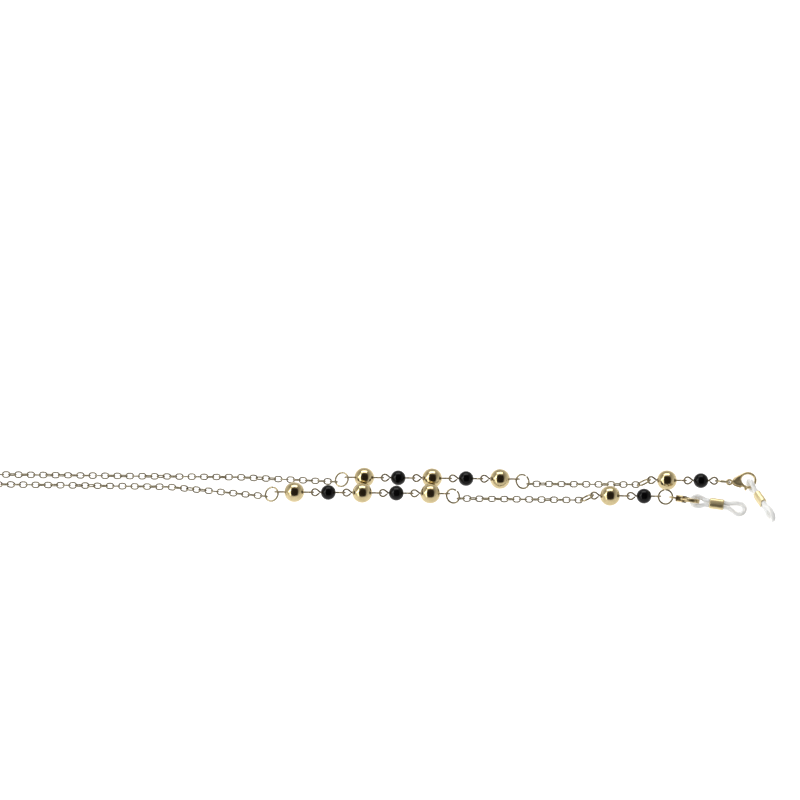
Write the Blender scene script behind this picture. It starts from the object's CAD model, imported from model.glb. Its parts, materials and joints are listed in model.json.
"""Eyeglass retainer strap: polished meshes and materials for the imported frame."""

import json
import math

import bmesh
import bpy
from mathutils import Matrix, Vector


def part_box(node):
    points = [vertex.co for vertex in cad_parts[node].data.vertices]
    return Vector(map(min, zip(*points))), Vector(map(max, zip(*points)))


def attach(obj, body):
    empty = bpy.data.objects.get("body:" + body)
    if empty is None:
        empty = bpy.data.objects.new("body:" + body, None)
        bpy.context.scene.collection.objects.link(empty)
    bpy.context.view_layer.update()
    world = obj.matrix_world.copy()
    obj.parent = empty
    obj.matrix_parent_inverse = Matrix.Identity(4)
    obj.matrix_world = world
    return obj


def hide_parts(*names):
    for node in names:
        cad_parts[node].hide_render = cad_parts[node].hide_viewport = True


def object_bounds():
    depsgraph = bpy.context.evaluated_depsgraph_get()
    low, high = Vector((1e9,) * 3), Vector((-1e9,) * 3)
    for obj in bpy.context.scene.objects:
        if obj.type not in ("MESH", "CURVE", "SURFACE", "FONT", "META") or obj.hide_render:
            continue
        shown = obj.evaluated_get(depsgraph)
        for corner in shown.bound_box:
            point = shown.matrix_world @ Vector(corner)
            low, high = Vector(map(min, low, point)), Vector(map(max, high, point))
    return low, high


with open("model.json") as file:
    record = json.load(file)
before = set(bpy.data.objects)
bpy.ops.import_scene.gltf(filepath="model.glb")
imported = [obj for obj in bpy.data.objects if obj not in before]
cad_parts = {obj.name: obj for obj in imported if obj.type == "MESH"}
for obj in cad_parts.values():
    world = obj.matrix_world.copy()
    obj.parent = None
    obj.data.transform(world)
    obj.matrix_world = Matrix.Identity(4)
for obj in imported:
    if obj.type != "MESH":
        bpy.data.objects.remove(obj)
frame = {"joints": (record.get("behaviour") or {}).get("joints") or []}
cad_low, cad_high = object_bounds()

MM = 0.001
SIDES = ("left", "right")
JOINTS = {joint["name"]: joint for joint in frame["joints"]}
# Each bead with the number of its eye pin, from the strand's end to the nape
BEADS = (
    ("black_bead_1", 1), ("gold_bead_1", 2), ("gold_bead_2", 3), ("black_bead_2", 4),
    ("gold_bead_3", 5), ("black_bead_3", 6), ("gold_bead_4", 7),
)
NAPE_COUNT = {"left": 5, "right": 4}

# Sizes of the wires and pieces, in metres
GOLD_R = 4.0 * MM
BLACK_R = 3.0 * MM
GOLD_WALL = 0.5 * MM
BEAD_HOLE_R = 0.6 * MM
BEAD_LIP_R = 0.16 * MM
PIN_WIRE_R = 0.35 * MM
EYE_R = 1.35 * MM
# From the bead's surface to the middle of the wire at the eye's tip
EYE_TIP = 3.63 * MM
# Where an eye's round part meets its straight sides, in radians from its tip
EYE_MEET = math.radians(128)
# From the eye's middle back to the point its straight sides meet in, in eye radii
EYE_APEX = 1.62
RING_WIRE_R = 0.37 * MM
RING_R = 2.8 * MM
# How much higher one hooked side of a ring lies than the other, and how far apart they are
RING_FALL = 2.75 * MM
RING_RUN = math.sqrt((2 * RING_R) ** 2 - RING_FALL ** 2)
RING_GAP = math.radians(7)
# How far a ring's two cut ends miss each other sideways
RING_SKEW = 0.10 * MM
LINK_WIRE_R = 0.29 * MM
LINK_PITCH = 2.46 * MM
LINK_L = 3.38 * MM
LINK_W = 2.65 * MM
# The links' centre line runs this far inside their outer width
LINK_INSET = 0.21 * MM
LINK_LEAN = math.radians(45)
LINK_SWAY = math.radians(16)
FOLD_LINKS = 7
CORD_R = 0.97 * MM
# Between two hooked wires' centres: a ring in an eye, and a link in a ring
EYE_TO_RING = 0.9 * MM
RING_SLACK = 0.2 * MM
RING_TO_LINK = 0.8 * MM
LINK_TIP = 0.2 * MM

# Rolls about the strand, in degrees. Hooked wires lean against each other.
EYE_UP, EYE_DOWN = 43, -47
RING_ROLL = {
    "left": {1: -45, 2: -30, 3: 25, 4: 25},
    "right": {1: 40, 2: -30, 3: 25, 4: 25},
}
# Where each ring's joint is, in degrees round the ring
RING_GAP_AT = {1: 100, 2: 250, 3: 70, 4: 60}

ALONG_X = Vector((1, 0, 0))
ALONG_Y = Vector((0, 1, 0))
UP = Vector((0, 0, 1))


# ---------------------------------------------------------------- places

def place(joint):
    """Where a hinge is, in the row frame."""
    return Vector(JOINTS[joint]["pos_m"])


def aim(joint):
    """The axis of a joint."""
    return Vector(JOINTS[joint]["axis"]).normalized()


def frame_at(origin, x_axis, z_hint):
    """A 4x4 with its X along x_axis and its Z as near as can be to z_hint."""
    x = x_axis.normalized()
    y = z_hint.cross(x).normalized()
    z = x.cross(y)
    turn = Matrix((x, y, z)).transposed().to_4x4()
    return Matrix.Translation(origin) @ turn


# ---------------------------------------------------------------- mesh code

class Build:
    """Collects rings of vertices into one mesh."""

    def __init__(self):
        self.points = []
        self.faces = []

    def rings(self, rings, closed=False):
        """Skins a row of equal rings of points. The last joins the first if closed."""
        start = len(self.points)
        sides = len(rings[0])
        for ring in rings:
            self.points.extend(ring)
        count = len(rings)
        for i in range(count if closed else count - 1):
            j = (i + 1) % count
            for k in range(sides):
                n = (k + 1) % sides
                a, b = start + i * sides, start + j * sides
                self.faces.append((a + k, a + n, b + n, b + k))
        if not closed:
            self.faces.append(tuple(start + k for k in reversed(range(sides))))
            last = start + (count - 1) * sides
            self.faces.append(tuple(last + k for k in range(sides)))

    def piece(self, name, material, at=None, angle=50):
        """Makes the mesh object, smooth where faces meet at less than the angle."""
        mesh = bpy.data.meshes.new(name)
        mesh.from_pydata([tuple(p) for p in self.points], [], self.faces)
        if at is not None:
            mesh.transform(at)
        form = bmesh.new()
        form.from_mesh(mesh)
        bmesh.ops.recalc_face_normals(form, faces=form.faces)
        form.to_mesh(mesh)
        form.free()
        mesh.materials.append(material)
        mesh.shade_smooth()
        mesh.set_sharp_from_angle(angle=math.radians(angle))
        made = bpy.data.objects.new(name, mesh)
        bpy.context.scene.collection.objects.link(made)
        return made


def tube_rings(path, radius, sides, closed=False):
    """Rings of points along a path. The radius is a number or a function of the part covered."""
    count = len(path)
    tangents = []
    for i in range(count):
        a = path[i - 1] if closed or i else path[0]
        b = path[(i + 1) % count] if closed or i < count - 1 else path[-1]
        tangents.append((b - a).normalized())
    normal = tangents[0].orthogonal().normalized()
    normals = []
    for i in range(count):
        normal = (normal - tangents[i] * normal.dot(tangents[i])).normalized()
        normals.append(normal)
    twist = 0.0
    if closed:
        last = (normals[-1] - tangents[0] * normals[-1].dot(tangents[0])).normalized()
        twist = math.atan2(tangents[0].dot(last.cross(normals[0])), last.dot(normals[0]))
    rings = []
    for i in range(count):
        part = i / count if closed else i / (count - 1)
        size = radius(part) if callable(radius) else radius
        side = Matrix.Rotation(twist * part, 3, tangents[i]) @ normals[i]
        up = tangents[i].cross(side)
        ring = []
        for k in range(sides):
            a = math.tau * k / sides
            ring.append(path[i] + side * (size * math.cos(a)) + up * (size * math.sin(a)))
        rings.append(ring)
    return rings


def round_end(t, size, count):
    """A wire's radius at part t of its length, rounded off at both cut ends."""
    cut_end = 0.72
    from_end = min(t, 1 - t) * count
    if from_end >= 1:
        return size
    return size * (cut_end + (1 - cut_end) * math.sin(math.pi / 2 * from_end))


def circle_points(centre, radius, sides, z=0.0):
    """A ring of points round centre in the XY plane, lifted by z."""
    turns = [math.tau * k / sides for k in range(sides)]
    return [centre + Vector((radius * math.cos(a), radius * math.sin(a), z)) for a in turns]


def arc(centre, radius, start, end, steps, u=ALONG_X, v=ALONG_Y):
    """Points on an arc in the plane of u and v."""
    angles = [start + (end - start) * i / steps for i in range(steps + 1)]
    return [centre + u * (radius * math.cos(a)) + v * (radius * math.sin(a)) for a in angles]


# ---------------------------------------------------------------- materials

def new_material(name):
    made = bpy.data.materials.new(name)
    made.use_nodes = True
    return made, made.node_tree.nodes, made.node_tree.links


def noise_node(nodes, links, coords, scale, detail=4.0, rough=0.55):
    made = nodes.new("ShaderNodeTexNoise")
    made.inputs["Scale"].default_value = scale
    made.inputs["Detail"].default_value = detail
    made.inputs["Roughness"].default_value = rough
    links.new(coords, made.inputs["Vector"])
    return made


def map_range(nodes, links, value, low, high, out_low, out_high):
    made = nodes.new("ShaderNodeMapRange")
    made.inputs["From Min"].default_value = low
    made.inputs["From Max"].default_value = high
    made.inputs["To Min"].default_value = out_low
    made.inputs["To Max"].default_value = out_high
    links.new(value, made.inputs["Value"])
    return made.outputs["Result"]


def mix_node(nodes, links, factor, one, two):
    """Mixes two colours, each a constant or a socket."""
    made = nodes.new("ShaderNodeMix")
    made.data_type = "RGBA"
    links.new(factor, made.inputs["Factor"])
    colours = [i for i in made.inputs if i.type == "RGBA"]
    for socket, value in zip(colours, (one, two)):
        if isinstance(value, tuple):
            socket.default_value = (*value, 1)
        else:
            links.new(value, socket)
    return next(o for o in made.outputs if o.type == "RGBA")


def bump_node(nodes, links, noise, strength, distance):
    """Lets the noise raise the surface by up to distance, in metres."""
    made = nodes.new("ShaderNodeBump")
    made.inputs["Strength"].default_value = strength
    made.inputs["Distance"].default_value = distance
    links.new(noise.outputs["Fac"], made.inputs["Height"])
    links.new(made.outputs["Normal"], nodes["Principled BSDF"].inputs["Normal"])


def noise_range(nodes, links, coords, noise, span, out):
    """Noise of a scale, detail and roughness, with its span stretched over out."""
    value = noise_node(nodes, links, coords, *noise).outputs["Fac"]
    return map_range(nodes, links, value, *span, *out)


def plated_metal(name, light, deep, rough, grain, scratch=0.25):
    """Gold plate: its tone drifts a little, and it has fine polishing lines and pits."""
    made, nodes, links = new_material(name)
    surface = nodes["Principled BSDF"]
    coords = nodes.new("ShaderNodeTexCoord").outputs["Object"]
    surface.inputs["Metallic"].default_value = 1.0
    tone = noise_range(nodes, links, coords, (350, 5), (0.35, 0.68), (0, 1))
    links.new(mix_node(nodes, links, tone, light, deep), surface.inputs["Base Color"])
    worn = noise_range(nodes, links, coords, (2100, 6, 0.7), (0.35, 0.75), rough)
    links.new(worn, surface.inputs["Roughness"])
    lines = nodes.new("ShaderNodeMapping")
    lines.inputs["Scale"].default_value = (0.25, 1.0, 1.0)
    links.new(coords, lines.inputs["Vector"])
    fine = noise_node(nodes, links, lines.outputs["Vector"], grain, 3, 0.6)
    bump_node(nodes, links, fine, scratch, 0.00001)
    return made


def black_gloss():
    """Black glass bead: deep black and glossy, with faint dust and waviness."""
    made, nodes, links = new_material("black_bead")
    surface = nodes["Principled BSDF"]
    coords = nodes.new("ShaderNodeTexCoord").outputs["Object"]
    cloud = noise_range(nodes, links, coords, (260, 4), (0.35, 0.7), (0, 1))
    base = mix_node(nodes, links, cloud, (0.0012, 0.0012, 0.0014), (0.0035, 0.0035, 0.004))
    links.new(base, surface.inputs["Base Color"])
    dust = noise_range(nodes, links, coords, (2600, 6, 0.7), (0.45, 0.75), (0.05, 0.16))
    links.new(dust, surface.inputs["Roughness"])
    surface.inputs["Specular IOR Level"].default_value = 0.16
    bump_node(nodes, links, noise_node(nodes, links, coords, 420, 2, 0.4), 0.12, 0.00006)
    return made


def silicone():
    """Milky, slightly translucent silicone with a smooth moulded surface."""
    made, nodes, links = new_material("silicone")
    surface = nodes["Principled BSDF"]
    coords = nodes.new("ShaderNodeTexCoord").outputs["Object"]
    cloud = noise_range(nodes, links, coords, (220, 3), (0.3, 0.7), (0, 1))
    base = mix_node(nodes, links, cloud, (0.86, 0.865, 0.86), (0.93, 0.935, 0.93))
    links.new(base, surface.inputs["Base Color"])
    surface.inputs["Transmission Weight"].default_value = 0.25
    surface.inputs["IOR"].default_value = 1.41
    surface.inputs["Subsurface Weight"].default_value = 0.7
    surface.inputs["Subsurface Radius"].default_value = (1.0, 0.97, 0.93)
    surface.inputs["Subsurface Scale"].default_value = 0.0016
    skin = noise_node(nodes, links, coords, 1400, 4, 0.5)
    dull = map_range(nodes, links, skin.outputs["Fac"], 0.3, 0.75, 0.30, 0.44)
    links.new(dull, surface.inputs["Roughness"])
    surface.inputs["Emission Color"].default_value = (1.0, 1.0, 0.98, 1)
    surface.inputs["Emission Strength"].default_value = 0.035
    bump_node(nodes, links, skin, 0.06, 0.000004)
    return made


GOLD_BEAD = plated_metal(
    "gold_bead", (0.60, 0.495, 0.28), (0.50, 0.405, 0.21), (0.10, 0.20), grain=1600, scratch=0.06)
PIN_WIRE = plated_metal(
    "pin_wire", (0.36, 0.30, 0.19), (0.24, 0.19, 0.10), (0.20, 0.36), grain=4200)
RING_WIRE = plated_metal(
    "ring_wire", (0.40, 0.34, 0.21), (0.28, 0.23, 0.12), (0.18, 0.32), grain=3800)
CHAIN_WIRE = plated_metal(
    "chain_wire", (0.34, 0.30, 0.20), (0.23, 0.19, 0.12), (0.20, 0.38), grain=5200)
CLASP_METAL = plated_metal(
    "clasp", (0.66, 0.54, 0.31), (0.52, 0.41, 0.21), (0.30, 0.44), grain=3000)
COLLAR_METAL = plated_metal(
    "collar", (0.74, 0.63, 0.37), (0.62, 0.51, 0.27), (0.34, 0.48), grain=5200, scratch=0.4)
SPRING_METAL = plated_metal(
    "spring_steel", (0.62, 0.62, 0.63), (0.45, 0.45, 0.46), (0.2, 0.35), grain=4000)
BLACK_BEAD = black_gloss()
SILICONE = silicone()


def finish_piece(made, node, body):
    """The piece rides on its body and stands for its CAD node."""
    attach(made, body)
    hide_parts(node)


# ---------------------------------------------------------------- beads

def bead_profile(radius, wall=None):
    """Half section of a bead: the ball, rolled in at both holes, and its inner wall."""
    outer_steps, inner_steps = 48, 24
    start = math.asin((BEAD_HOLE_R + BEAD_LIP_R) / radius)
    outer = []
    for i in range(outer_steps + 1):
        a = start + (math.pi - 2 * start) * i / outer_steps
        outer.append((-radius * math.cos(a), radius * math.sin(a)))
    edge_x = -radius * math.cos(start)
    roll = []
    for degrees in (30, 60, 90):
        b = math.radians(degrees)
        x = edge_x + BEAD_LIP_R * (1 - math.cos(b))
        roll.append((x, BEAD_HOLE_R + BEAD_LIP_R * (1 - math.sin(b))))
    left = list(reversed(roll))
    right = [(-x, r) for x, r in roll]
    if wall is None:
        return left + outer + right
    inner = []
    inside = radius - wall
    begin = math.asin(BEAD_HOLE_R / inside)
    for i in range(inner_steps + 1):
        a = begin + (math.pi - 2 * begin) * i / inner_steps
        inner.append((inside * math.cos(a), inside * math.sin(a)))
    return left + outer + right + inner


def make_bead(node, gold):
    spin = JOINTS[node + "_spin"]
    at = frame_at(Vector(spin["pos_m"]), Vector(spin["axis"]), UP)
    profile = bead_profile(GOLD_R, GOLD_WALL) if gold else bead_profile(BLACK_R)
    rings = []
    steps = 96
    for i in range(steps):
        a = math.tau * i / steps
        rings.append([at @ Vector((x, r * math.cos(a), r * math.sin(a))) for x, r in profile])
    build = Build()
    build.rings(rings, closed=True)
    made = build.piece(node + "_ball", GOLD_BEAD if gold else BLACK_BEAD, angle=60)
    finish_piece(made, node, node)


# ---------------------------------------------------------------- eye pins

def eye_path(direction, tip_x, roll):
    """The wire from its straight part round a teardrop eye, in the pin's frame."""
    side = Vector((0, math.cos(math.radians(roll)), math.sin(math.radians(roll))))
    ahead = Vector((direction, 0, 0))
    centre = Vector((direction * (tip_x - EYE_R), 0, 0))
    apex = centre - ahead * (EYE_R * EYE_APEX)
    cut_lift = 0.05 * MM
    loop = arc(centre, EYE_R, EYE_MEET, -EYE_MEET, 40, ahead, side)
    leave = [apex.lerp(loop[0], t) for t in (0.0, 0.22, 0.48, 0.76)]
    back = [loop[-1].lerp(apex, t) + side * (cut_lift * t) for t in (0.25, 0.5, 0.72)]
    return leave + loop + back


def make_pin(side, number, bead_node):
    """One wire: an eye, the straight part through the bead, and the other eye."""
    node = f"{side}_eye_pin_{number}"
    spin = JOINTS[bead_node + "_spin"]
    centre = Vector(spin["pos_m"])
    tip = (GOLD_R if "gold" in bead_node else BLACK_R) + EYE_TIP
    nape = list(reversed(eye_path(-1, tip, EYE_DOWN if number == 7 else EYE_UP)))
    end = eye_path(1, tip, EYE_UP if number == 1 and side == "left" else EYE_DOWN)
    middle_from, middle_to = nape[-1], end[0]
    shaft = [middle_from.lerp(middle_to, i / 12) for i in range(1, 12)]
    path = nape + shaft + end
    count = len(path)
    build = Build()
    build.rings(tube_rings(path, lambda t: round_end(t, PIN_WIRE_R, count / 2), 14))
    made = build.piece(node + "_wire", PIN_WIRE, Matrix.Translation(centre))
    finish_piece(made, node, node)


# ---------------------------------------------------------------- jump rings

def bead_place(side, bead):
    """The middle of a bead."""
    return place(f"{side}_{bead}_spin")


def ring_wires(side, number):
    """The two places a ring's wire hangs in, the one nearer the nape first."""
    down = Vector((RING_RUN, 0, -RING_FALL))
    up = Vector((RING_RUN, 0, RING_FALL))
    tip = Vector((GOLD_R + EYE_TIP - EYE_TO_RING, 0, 0))
    slack = Vector((RING_SLACK, 0, 0))
    if number == 4:
        inner = bead_place(side, "gold_bead_4") - tip + slack
        return inner - up, inner
    if number == 3:
        inner = bead_place(side, "gold_bead_2") + tip - slack
        return inner, inner + down
    if number == 2:
        inner = bead_place(side, "gold_bead_1") - tip
        return inner - up, inner
    inner = bead_place(side, "black_bead_1") + Vector((BLACK_R + EYE_TIP - EYE_TO_RING, 0, 0))
    return inner, place(side + "_clasp_swing")


def make_ring(side, number):
    """A round ring of wire, open by a hair at its joint, between its two neighbours."""
    node = f"{side}_ring_{number}"
    here, there = ring_wires(side, number)
    at = frame_at((here + there) / 2, there - here, UP)
    at = at @ Matrix.Rotation(math.radians(RING_ROLL[side][number]), 4, "X")
    start = math.radians(RING_GAP_AT[number]) + RING_GAP / 2
    path = arc(Vector(), RING_R, start, start + math.tau - RING_GAP, 96)
    count = len(path)
    for i, point in enumerate(path):
        point.z += RING_SKEW * (2 * i / (count - 1) - 1) ** 5
    build = Build()
    build.rings(tube_rings(path, lambda t: round_end(t, RING_WIRE_R, count), 18))
    made = build.piece(node + "_wire", RING_WIRE, at)
    finish_piece(made, node, node)


# ---------------------------------------------------------------- chains

def link_outline():
    """Centre line of one oval link, flat in XY."""
    r = LINK_W / 2 - LINK_INSET
    run = ALONG_X * ((LINK_L - LINK_W) / 2)
    right = arc(run, r, -math.pi / 2, math.pi / 2, 14)
    left = arc(-run, r, math.pi / 2, 3 * math.pi / 2, 14)
    return right + left


LINK_RINGS = tube_rings(link_outline(), LINK_WIRE_R, 12, closed=True)


def link_wobble(index, seed):
    """Small steady differences between one link and the next, in radians."""
    return 0.10 * math.sin(index * 2.39 + seed), 0.035 * math.sin(index * 4.11 + seed * 1.7)


def sway(index, count):
    """How far the chain's twist turns a link, over a row of count links."""
    return LINK_SWAY * math.sin(math.tau * (index + 0.5) / count)


def add_link(build, at, roll, index, seed):
    """One link at a place, rolled about the chain."""
    extra_roll, yaw = link_wobble(index, seed)
    turn = at @ Matrix.Rotation(roll + extra_roll, 4, "X") @ Matrix.Rotation(yaw, 4, "Z")
    build.rings([[turn @ p for p in ring] for ring in LINK_RINGS], closed=True)


def finish_chain(build, node):
    made = build.piece(node + "_links", CHAIN_WIRE, angle=60)
    finish_piece(made, node, node)


def chain_row(node, start, end, seed):
    """Links from joint to joint. The row starts half a link after start."""
    step = (end - start).normalized() * LINK_PITCH
    count = round((end - start).length / LINK_PITCH)
    build = Build()
    for i in range(count):
        centre = start + step * (i + 0.5)
        lean = LINK_LEAN if i % 2 == 0 else -LINK_LEAN
        add_link(build, frame_at(centre, step, UP), lean + sway(i, count), i, seed)
    finish_chain(build, node)


def nape_end(side, k):
    """The joint after k stretches, counted from ring 4 to the fold."""
    if k == 0:
        outer, _ = ring_wires(side, 4)
        back = LINK_L / 2 - LINK_TIP - LINK_PITCH / 2
        return outer + Vector((RING_TO_LINK - back, 0, 0))
    return place(f"{side}_nape_bend_{k}")


def make_nape(side):
    """The long chain from ring 4 to the fold, in stretches."""
    for k in range(1, NAPE_COUNT[side] + 1):
        chain_row(f"{side}_nape_{k}", nape_end(side, k - 1), nape_end(side, k), k)


def make_fold():
    """The half circle of links behind the neck."""
    node = "nape_fold"
    left = place(f"left_nape_bend_{NAPE_COUNT['left']}")
    right = place(f"right_nape_bend_{NAPE_COUNT['right']}")
    centre = (left + right) / 2
    step = math.pi / FOLD_LINKS
    radius = (left - right).length / 2 * math.cos(step / 2)
    build = Build()
    for i in range(FOLD_LINKS):
        a = math.pi / 2 + (i + 0.5) * step
        out = Vector((math.cos(a), math.sin(a), 0))
        along = Vector((-math.sin(a), math.cos(a), 0))
        at = frame_at(centre + out * radius, along, UP)
        add_link(build, at, -LINK_LEAN if i % 2 == 0 else LINK_LEAN, i, 0.4)
    finish_chain(build, node)


def make_short_chain(side):
    """The chain between rings 2 and 3."""
    node = f"{side}_short_chain"
    low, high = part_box(node)
    start = place(node + "_swing")
    end = place(f"{side}_ring_2_swing")
    half = LINK_L / 2
    count = round((high.x - low.x - LINK_L) / LINK_PITCH) + 1
    build = Build()
    for i in range(count):
        part = i / (count - 1)
        y = start.y + (end.y - start.y) * part
        centre = Vector((low.x + half + i * LINK_PITCH, y, start.z))
        lean = -LINK_LEAN if i % 2 == 0 else LINK_LEAN
        add_link(build, frame_at(centre, ALONG_X, UP), lean + sway(i, count), i, 2.2)
    finish_chain(build, node)


# ---------------------------------------------------------------- lobster clasps

CLAW_R = 3.5 * MM
CLAW_OPEN_R = 2.5 * MM
BASE_R = 1.8 * MM
BASE_X = 3.0 * MM
THROAT_R = 0.55 * MM
THROAT_X = 5.4 * MM
CLAW_X = 7.4 * MM
CLAW_T = 1.7 * MM
BASE_T = 2.7 * MM
CHEEK_T = 0.55 * MM
CLASP_EYE_R = 1.0 * MM
CLASP_EYE_WIRE = 0.40 * MM
CLASP_NECK_R = 0.5 * MM
LEVER_T = 0.7 * MM
LUG_R = 0.78 * MM
ARM_R = 0.6 * MM
# How much slimmer the lever is than the claw
LEVER_SLIM = 0.97
TAB_Y = 2.75 * MM
TAB_L = 1.35 * MM
PIVOT_R = 0.3 * MM
RIVET_HEAD = 0.05 * MM
SPRING_R = 0.48 * MM
SPRING_WIRE_R = 0.1 * MM


def clasp_frame(side):
    """The clasp's own frame: X from its base eye to its claw, Z along its lever's pin."""
    eye = place(side + "_clasp_swing")
    claw = place(side + "_temple_loop_swing")
    return frame_at(eye, claw - eye, aim(side + "_lever_hinge"))


def pivot_place(side):
    """The lever's pin, in the clasp's frame."""
    return clasp_frame(side).inverted() @ place(side + "_lever_hinge")


def egg_point(a, small_r, small_x, large_r, large_x):
    """A point at angle a on the outline round a small and a large circle, seen from the claw."""
    straight_part = 0.55
    lean = math.acos((small_r - large_r) / (large_x - small_x))
    t = (a + math.pi) % math.tau - math.pi
    if abs(t) <= lean:
        return Vector((large_x + large_r * math.cos(t), large_r * math.sin(t), 0))
    sign = 1 if t > 0 else -1
    top_large = Vector((large_x + large_r * math.cos(lean), large_r * math.sin(lean), 0))
    top_small = Vector((small_x + small_r * math.cos(lean), small_r * math.sin(lean), 0))
    rest = (abs(t) - lean) / (math.pi - lean)
    if rest < straight_part:
        point = top_large.lerp(top_small, rest / straight_part)
    else:
        b = lean + (math.pi - lean) * (rest - straight_part) / (1 - straight_part)
        point = Vector((small_x + small_r * math.cos(b), small_r * math.sin(b), 0))
    return Vector((point.x, sign * point.y, 0))


def band_ring(a, thick, soft=0.72):
    """A rounded section of the claw's wall at angle a."""
    out = egg_point(a, BASE_R, BASE_X, CLAW_R, CLAW_X)
    inside = egg_point(a, THROAT_R, THROAT_X, CLAW_OPEN_R, CLAW_X)
    middle, half = (out + inside) / 2, (out - inside) / 2
    ring = []
    sides = 20
    for k in range(sides):
        b = math.tau * k / sides
        c, s = math.cos(b), math.sin(b)
        c = math.copysign(abs(c) ** soft, c)
        s = math.copysign(abs(s) ** soft, s)
        ring.append(middle + half * c + Vector((0, 0, thick / 2 * s)))
    return ring


def shrunk(ring, factor):
    """The ring of points, scaled about its middle."""
    middle = sum(ring, Vector()) / len(ring)
    return [middle.lerp(p, factor) for p in ring]


def make_clasp(side):
    """Cast claw, base and base eye in one piece, and the pivot pin."""
    at = clasp_frame(side)
    pivot = pivot_place(side)
    node = side + "_clasp_body"
    build = Build()
    start, end = math.radians(-46), math.radians(180)
    rings = []
    steps = 76
    for i in range(steps + 1):
        t = i / steps
        grow = min(1.0, max(0.0, (t - 0.60) / 0.28))
        thick = CLAW_T + (BASE_T - CLAW_T) * grow * grow * (3 - 2 * grow)
        rings.append(band_ring(start + (end - start) * t, thick))
    rings[0] = shrunk(rings[0], 0.72)
    rings[1] = shrunk(rings[1], 0.93)
    build.rings(rings)
    # Two cheeks hold the pivot pin, with the lever's slot between them
    steps = 18
    for q in (-1, 1):
        lift = UP * (q * (BASE_T - CHEEK_T) / 2)
        rings = []
        for i in range(steps + 1):
            a = math.radians(176 + 52 * i / steps)
            rings.append([p + lift for p in band_ring(a, CHEEK_T, 0.5)])
        build.rings(rings)
    neck = [ALONG_X * (0.95 * MM), ALONG_X * (1.5 * MM)]
    build.rings(tube_rings(neck, CLASP_NECK_R, 16))
    steps = 60
    eye = arc(Vector(), CLASP_EYE_R, 0, math.tau * (steps - 1) / steps, steps - 1)
    build.rings(tube_rings(eye, CLASP_EYE_WIRE, 14, closed=True), closed=True)
    made = build.piece(node + "_cast", CLASP_METAL, at)
    finish_piece(made, node, side + "_clasp")

    node = side + "_clasp_pin"
    build = Build()
    top = BASE_T / 2
    head = top + RIVET_HEAD
    profile = [
        (-head, 0.0001 * MM), (-head, PIVOT_R * 0.7), (-top, PIVOT_R),
        (top, PIVOT_R), (head, PIVOT_R * 0.7), (head, 0.0001 * MM),
    ]
    build.rings([circle_points(pivot, r, 24, z) for z, r in profile])
    made = build.piece(node + "_rivet", CLASP_METAL, at, 40)
    finish_piece(made, node, side + "_clasp")


def make_lever(side):
    """The gate of the claw, its lug on the pin, the arm between them and its thumb tab."""
    pivot = pivot_place(side)
    node = side + "_clasp_lever"
    build = Build()
    start, end = math.radians(-52), math.radians(-117)
    rings = []
    steps = 28
    for i in range(steps + 1):
        t = i / steps
        thin = max(0.0, (t - 0.8) / 0.2)
        thick = CLAW_T + (LEVER_T - CLAW_T) * thin
        ring = band_ring(start + (end - start) * t, thick * LEVER_SLIM)
        rings.append(shrunk(ring, 0.95 * (0.8 if i in (0, steps) else 1.0)))
    build.rings(rings)
    lug = []
    steps = 4
    for i in range(steps + 1):
        r = LUG_R * (0.93 if i in (0, steps) else 1.0)
        lug.append(circle_points(pivot, r, 32, LEVER_T * (i / steps - 0.5)))
    build.rings(lug)
    arm_from = pivot + Vector((0.2 * MM, -0.3 * MM, 0))
    arm_to = pivot + Vector((2.5 * MM, -1.75 * MM, 0))
    arm = [arm_from.lerp(arm_to, i / 6) for i in range(7)]
    build.rings(tube_rings(arm, ARM_R, 14))
    tab_x = pivot.x + 2.35 * MM
    tab = []
    steps, sides = 8, 16
    for i in range(steps + 1):
        t = i / steps
        r = (0.54 - 0.12 * t + 0.10 * math.sin(math.pi * t)) * MM * (0.6 if i == steps else 1)
        ring = []
        for k in range(sides):
            a = math.tau * k / sides
            x = tab_x - 0.25 * MM * t + r * math.cos(a)
            ring.append(Vector((x, -TAB_Y - TAB_L * t, 0.95 * r * math.sin(a))))
        tab.append(ring)
    build.rings(tab)
    made = build.piece(node + "_gate", CLASP_METAL, clasp_frame(side))
    finish_piece(made, node, side + "_clasp_lever")


def make_spring(side):
    """The turn of spring wire on the pivot pin."""
    node = side + "_clasp_spring"
    centre = pivot_place(side) + UP * (0.5 * MM)
    path = arc(centre, SPRING_R, 0, math.radians(300), 36)
    build = Build()
    build.rings(tube_rings(path, SPRING_WIRE_R, 10))
    made = build.piece(node + "_wire", SPRING_METAL, clasp_frame(side))
    finish_piece(made, node, side + "_clasp")


# ---------------------------------------------------------------- temple loops and collars

# Lengths of the loop's near opening, of its straight run and of the whole loop
SMALL_L = 6.8 * MM
STRAIGHT_L = 7.8 * MM
LOOP_L = 22.8 * MM
LOOP_R = 2.08 * MM
LOOP_END = 2.9 * MM
# The far end's cord runs this much wider than the near end's
FAR_WIDER = 1.06
# Half the distance between the two cords in the straight run
RUN_Y = 0.9 * MM
LOOP_ROLL = {"left": 0, "right": -68}
LOOP_DROOP = {"left": 0, "right": 30}
COLLAR_L = 5.7 * MM
COLLAR_OUTER = (4.39 * MM, 3.0 * MM)
COLLAR_INNER = (3.75 * MM, 1.95 * MM)
COLLAR_SOFT = 0.30 * MM
COLLAR_CROWN = 0.03 * MM


def loop_frame(side):
    """The temple loop's own frame: X along the loop, Y across it, from the end in the claw."""
    low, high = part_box(side + "_collar")
    along = aim(side + "_collar_slide")
    origin = (low + high) / 2 - along * (SMALL_L + STRAIGHT_L / 2)
    roll = math.radians(LOOP_ROLL[side] + 90)
    return frame_at(origin, along, UP) @ Matrix.Rotation(roll, 4, "X")


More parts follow.
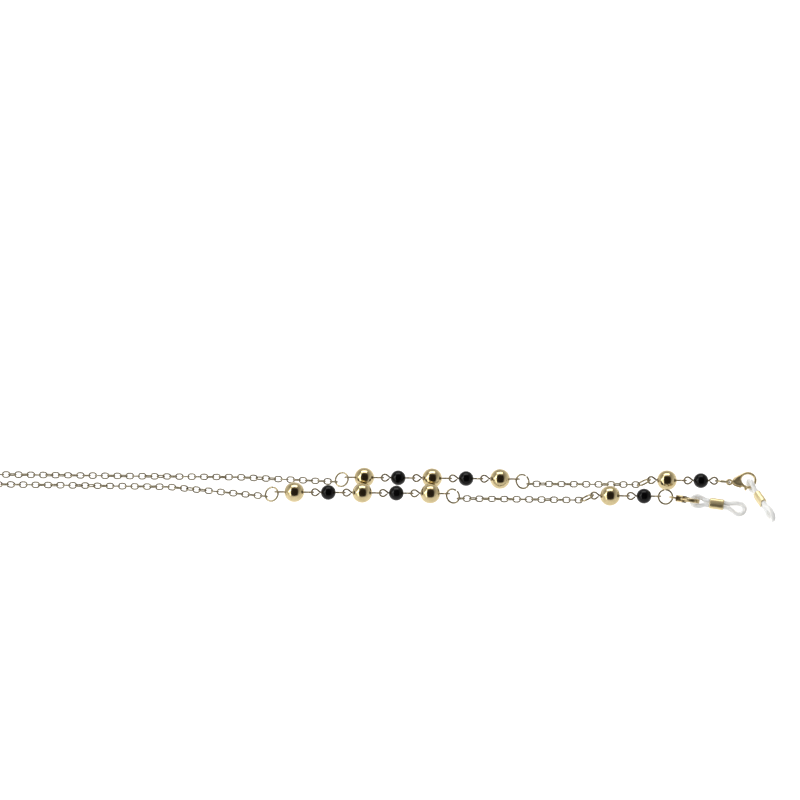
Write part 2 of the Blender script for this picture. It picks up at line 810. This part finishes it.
def drooped(point, angle):
    """Bends the part of the loop beyond its straight run."""
    straight = SMALL_L + STRAIGHT_L
    reach = point.x - straight
    if reach <= 0 or angle == 0:
        return point
    turn = angle * reach / (LOOP_L - straight)
    arm = reach / turn
    return Vector((
        straight + arm * math.sin(turn) + point.y * math.sin(turn),
        -arm * (1 - math.cos(turn)) + point.y * math.cos(turn),
        0,
    ))


def ease(start, end, steps):
    """Points from start to end that leave and arrive along X."""
    points = []
    for i in range(1, steps + 1):
        t = i / steps
        blend = (1 - math.cos(math.pi * t)) / 2
        x = start[0] + (end[0] - start[0]) * t
        points.append(Vector((x, start[1] + (end[1] - start[1]) * blend, 0)))
    return points


def loop_outline():
    """Upper half of the cord's centre line, then mirrored into a closed loop."""
    steps = 12
    far_x, far_y = LOOP_L - LOOP_END, LOOP_R * FAR_WIDER
    near = (LOOP_END, LOOP_R)
    pinch_from, pinch_to = (SMALL_L, RUN_Y), (SMALL_L + STRAIGHT_L, RUN_Y)
    upper = []
    for i in range(steps + 1):
        a = math.pi / 2 * i / steps
        upper.append(Vector((LOOP_END - LOOP_R * math.cos(a), LOOP_R * math.sin(a), 0)))
    upper += ease(near, pinch_from, 14) + ease(pinch_from, pinch_to, 8)
    upper += ease(pinch_to, (far_x, far_y), 16)
    for i in range(1, steps + 1):
        a = math.pi / 2 * (1 - i / steps)
        upper.append(Vector((far_x + LOOP_R * math.cos(a), far_y * math.sin(a), 0)))
    lower = [Vector((p.x, -p.y, 0)) for p in reversed(upper[1:-1])]
    return upper + lower


def make_loop(side):
    """The silicone cord, closed into one loop."""
    node = side + "_temple_loop"
    build = Build()
    path = [drooped(p, math.radians(LOOP_DROOP[side])) for p in loop_outline()]
    build.rings(tube_rings(path, CORD_R, 24, closed=True), closed=True)
    made = build.piece(node + "_cord", SILICONE, loop_frame(side), 70)
    finish_piece(made, node, node)


def stadium_section(width, height, steps=12):
    """Points round a flat oval in the YZ plane."""
    half = (width - height) / 2
    points = []
    for q in (1, -1):
        for i in range(steps + 1):
            a = -math.pi / 2 + math.pi * i / steps
            points.append((q * (half + height / 2 * math.cos(a)), q * height / 2 * math.sin(a)))
    return points


def make_collar(side):
    """A short oval tube with softly rolled ends."""
    node = side + "_collar"
    start = SMALL_L + STRAIGHT_L / 2 - COLLAR_L / 2

    def section(t, width, height):
        return [Vector((start + t * COLLAR_L, y, z)) for y, z in stadium_section(width, height)]

    rings = []
    steps = 28
    for i in range(steps + 1):
        t = i / steps
        inside = max(0, COLLAR_SOFT - min(t, 1 - t) * COLLAR_L)
        drop = COLLAR_SOFT - math.sqrt(COLLAR_SOFT ** 2 - inside ** 2)
        grow = COLLAR_CROWN * math.sin(math.pi * t) - 2 * drop
        rings.append(section(t, COLLAR_OUTER[0] + grow, COLLAR_OUTER[1] + grow))
    rings += [section(t, *COLLAR_INNER) for t in (1.0, 0.5, 0.0)]
    build = Build()
    build.rings(rings, closed=True)
    made = build.piece(node + "_tube", COLLAR_METAL, loop_frame(side))
    finish_piece(made, node, node)


# ---------------------------------------------------------------- assembly

make_fold()
for strand in SIDES:
    make_nape(strand)
    make_short_chain(strand)
    for ring_number in (1, 2, 3, 4):
        make_ring(strand, ring_number)
    for bead_name, pin_number in BEADS:
        make_bead(f"{strand}_{bead_name}", "gold" in bead_name)
        make_pin(strand, pin_number, f"{strand}_{bead_name}")
    make_clasp(strand)
    make_lever(strand)
    make_spring(strand)
    make_loop(strand)
    make_collar(strand)


# ---------------------------------------------------------------- stage, light and camera

# The photograph's viewing angles in degrees, and the width in metres that it takes in
VIEW_ELEVATION = 47
VIEW_AZIMUTH = 0.81
VIEW_SPAN = 0.3168
VIEW_DISTANCE = 2.6
# The picture's middle lies this far right and up of the aim point
AIM = Vector((0.02, 0, 0.004))
VIEW_RIGHT = 0.0138
VIEW_UP = 0.0361
SENSOR = 36
WORLD_LIGHT = 0.95
FLOOR_GLOW = 0.62
FLOOR_HALF = 6.0
# The floor lies well below the strap, so that it hides no pose that hangs down
FLOOR_DROP = 0.35


def make_floor():
    """A plain white ground."""
    made, nodes, links = new_material("pale_floor")
    surface = nodes["Principled BSDF"]
    coords = nodes.new("ShaderNodeTexCoord").outputs["Object"]
    paper = noise_node(nodes, links, coords, 900, 3).outputs["Fac"]
    base = mix_node(nodes, links, paper, (0.86, 0.86, 0.86), (0.89, 0.89, 0.89))
    links.new(base, surface.inputs["Base Color"])
    surface.inputs["Roughness"].default_value = 0.75
    surface.inputs["Specular IOR Level"].default_value = 0.2
    surface.inputs["Emission Color"].default_value = (1, 1, 1, 1)
    surface.inputs["Emission Strength"].default_value = FLOOR_GLOW
    mesh = bpy.data.meshes.new("floor")
    corners = [(x * FLOOR_HALF, y * FLOOR_HALF, 0) for x, y in ((-1, -1), (1, -1), (1, 1), (-1, 1))]
    mesh.from_pydata(corners, [], [(0, 1, 2, 3)])
    mesh.materials.append(made)
    floor = bpy.data.objects.new("floor", mesh)
    bpy.context.scene.collection.objects.link(floor)
    floor.location.z = cad_low.z - FLOOR_DROP


def area_light(name, at, target, size, power):
    """A soft box of a width and height, turned to its target."""
    data = bpy.data.lights.new(name, "AREA")
    data.shape = "RECTANGLE"
    data.size, data.size_y = size
    data.energy = power
    lamp = bpy.data.objects.new(name, data)
    lamp.location = at
    lamp.rotation_euler = (Vector(target) - Vector(at)).to_track_quat("-Z", "Y").to_euler()
    bpy.context.scene.collection.objects.link(lamp)


def view_axes():
    """Right, up and back of a viewer at the front, above the table."""
    elevation, azimuth = math.radians(VIEW_ELEVATION), math.radians(VIEW_AZIMUTH)
    right = Vector((math.cos(azimuth), math.sin(azimuth), 0))
    level = Vector((math.sin(azimuth), -math.cos(azimuth), 0))
    back = level * math.cos(elevation) + Vector((0, 0, math.sin(elevation)))
    return right, back.cross(right), back


def make_camera():
    """A long lens. The strap lies across the lower part of the picture."""
    right, up, back = view_axes()
    data = bpy.data.cameras.new("camera")
    data.sensor_width = SENSOR
    data.lens = SENSOR * VIEW_DISTANCE / VIEW_SPAN
    data.clip_end = 20
    eye = bpy.data.objects.new("camera", data)
    eye.location = AIM + right * VIEW_RIGHT + up * VIEW_UP + back * VIEW_DISTANCE
    eye.rotation_euler = Matrix((right, up, back)).transposed().to_euler()
    bpy.context.scene.collection.objects.link(eye)
    bpy.context.scene.camera = eye


def math_node(nodes, links, operation, *values):
    """A sum on one or two values, each a constant or a socket."""
    made = nodes.new("ShaderNodeMath")
    made.operation = operation
    for socket, value in zip(made.inputs, values):
        if isinstance(value, (int, float)):
            socket.default_value = value
        else:
            links.new(value, socket)
    return made.outputs[0]


def window(nodes, links, value, middle, half, soft):
    """1 where the value is within half of middle, falling to 0 over a soft edge."""
    away = math_node(nodes, links, "ABSOLUTE", math_node(nodes, links, "SUBTRACT", value, middle))
    return map_range(nodes, links, away, half, half + soft, 1, 0)


def make_world():
    """A white tent. Its front is a dark opening with a bright strip at its left."""
    world = bpy.data.worlds.new("studio")
    bpy.context.scene.world = world
    world.use_nodes = True
    nodes, links = world.node_tree.nodes, world.node_tree.links
    ground = nodes["Background"]
    coords = nodes.new("ShaderNodeTexCoord").outputs["Generated"]
    parts = []
    for axis in view_axes():
        dot = nodes.new("ShaderNodeVectorMath")
        dot.operation = "DOT_PRODUCT"
        links.new(coords, dot.inputs[0])
        dot.inputs[1].default_value = axis
        parts.append(dot.outputs["Value"])
    ahead = math_node(nodes, links, "MAXIMUM", parts[2], 0.02)
    across = math_node(nodes, links, "DIVIDE", parts[0], ahead)
    along = math_node(nodes, links, "DIVIDE", parts[1], ahead)
    # Each window: its middle, half its size and its soft edge, in parts of the distance
    dark_across = window(nodes, links, across, 0.10, 0.78, 0.55)
    dark_along = window(nodes, links, along, 0.05, 0.85, 0.6)
    dark = math_node(nodes, links, "MULTIPLY", dark_across, dark_along)
    strip_across = window(nodes, links, across, -1.25, 0.22, 0.12)
    strip_along = window(nodes, links, along, 0.1, 1.2, 0.5)
    strip = math_node(nodes, links, "MULTIPLY", strip_across, strip_along)
    split = nodes.new("ShaderNodeSeparateXYZ")
    links.new(coords, split.inputs["Vector"])
    level = map_range(nodes, links, split.outputs["Z"], 0.05, 0.75, 0.0, 1.0)
    cloth = mix_node(nodes, links, level, (0.95, 0.95, 0.94), (0.42, 0.41, 0.39))
    tent = mix_node(nodes, links, dark, cloth, (0.03, 0.024, 0.018))
    lit = mix_node(nodes, links, strip, tent, (3.6, 3.6, 3.5))
    links.new(lit, ground.inputs["Color"])
    ground.inputs["Strength"].default_value = WORLD_LIGHT


make_floor()
make_world()
area_light("top", (0.0, 0.75, 1.2), (0.05, 0, 0), (1.4, 0.6), 10)
area_light("left", (-1.1, -0.3, 0.7), (0.05, 0, 0), (0.3, 0.9), 3)
make_camera()
bpy.context.scene.view_settings.view_transform = "Standard"
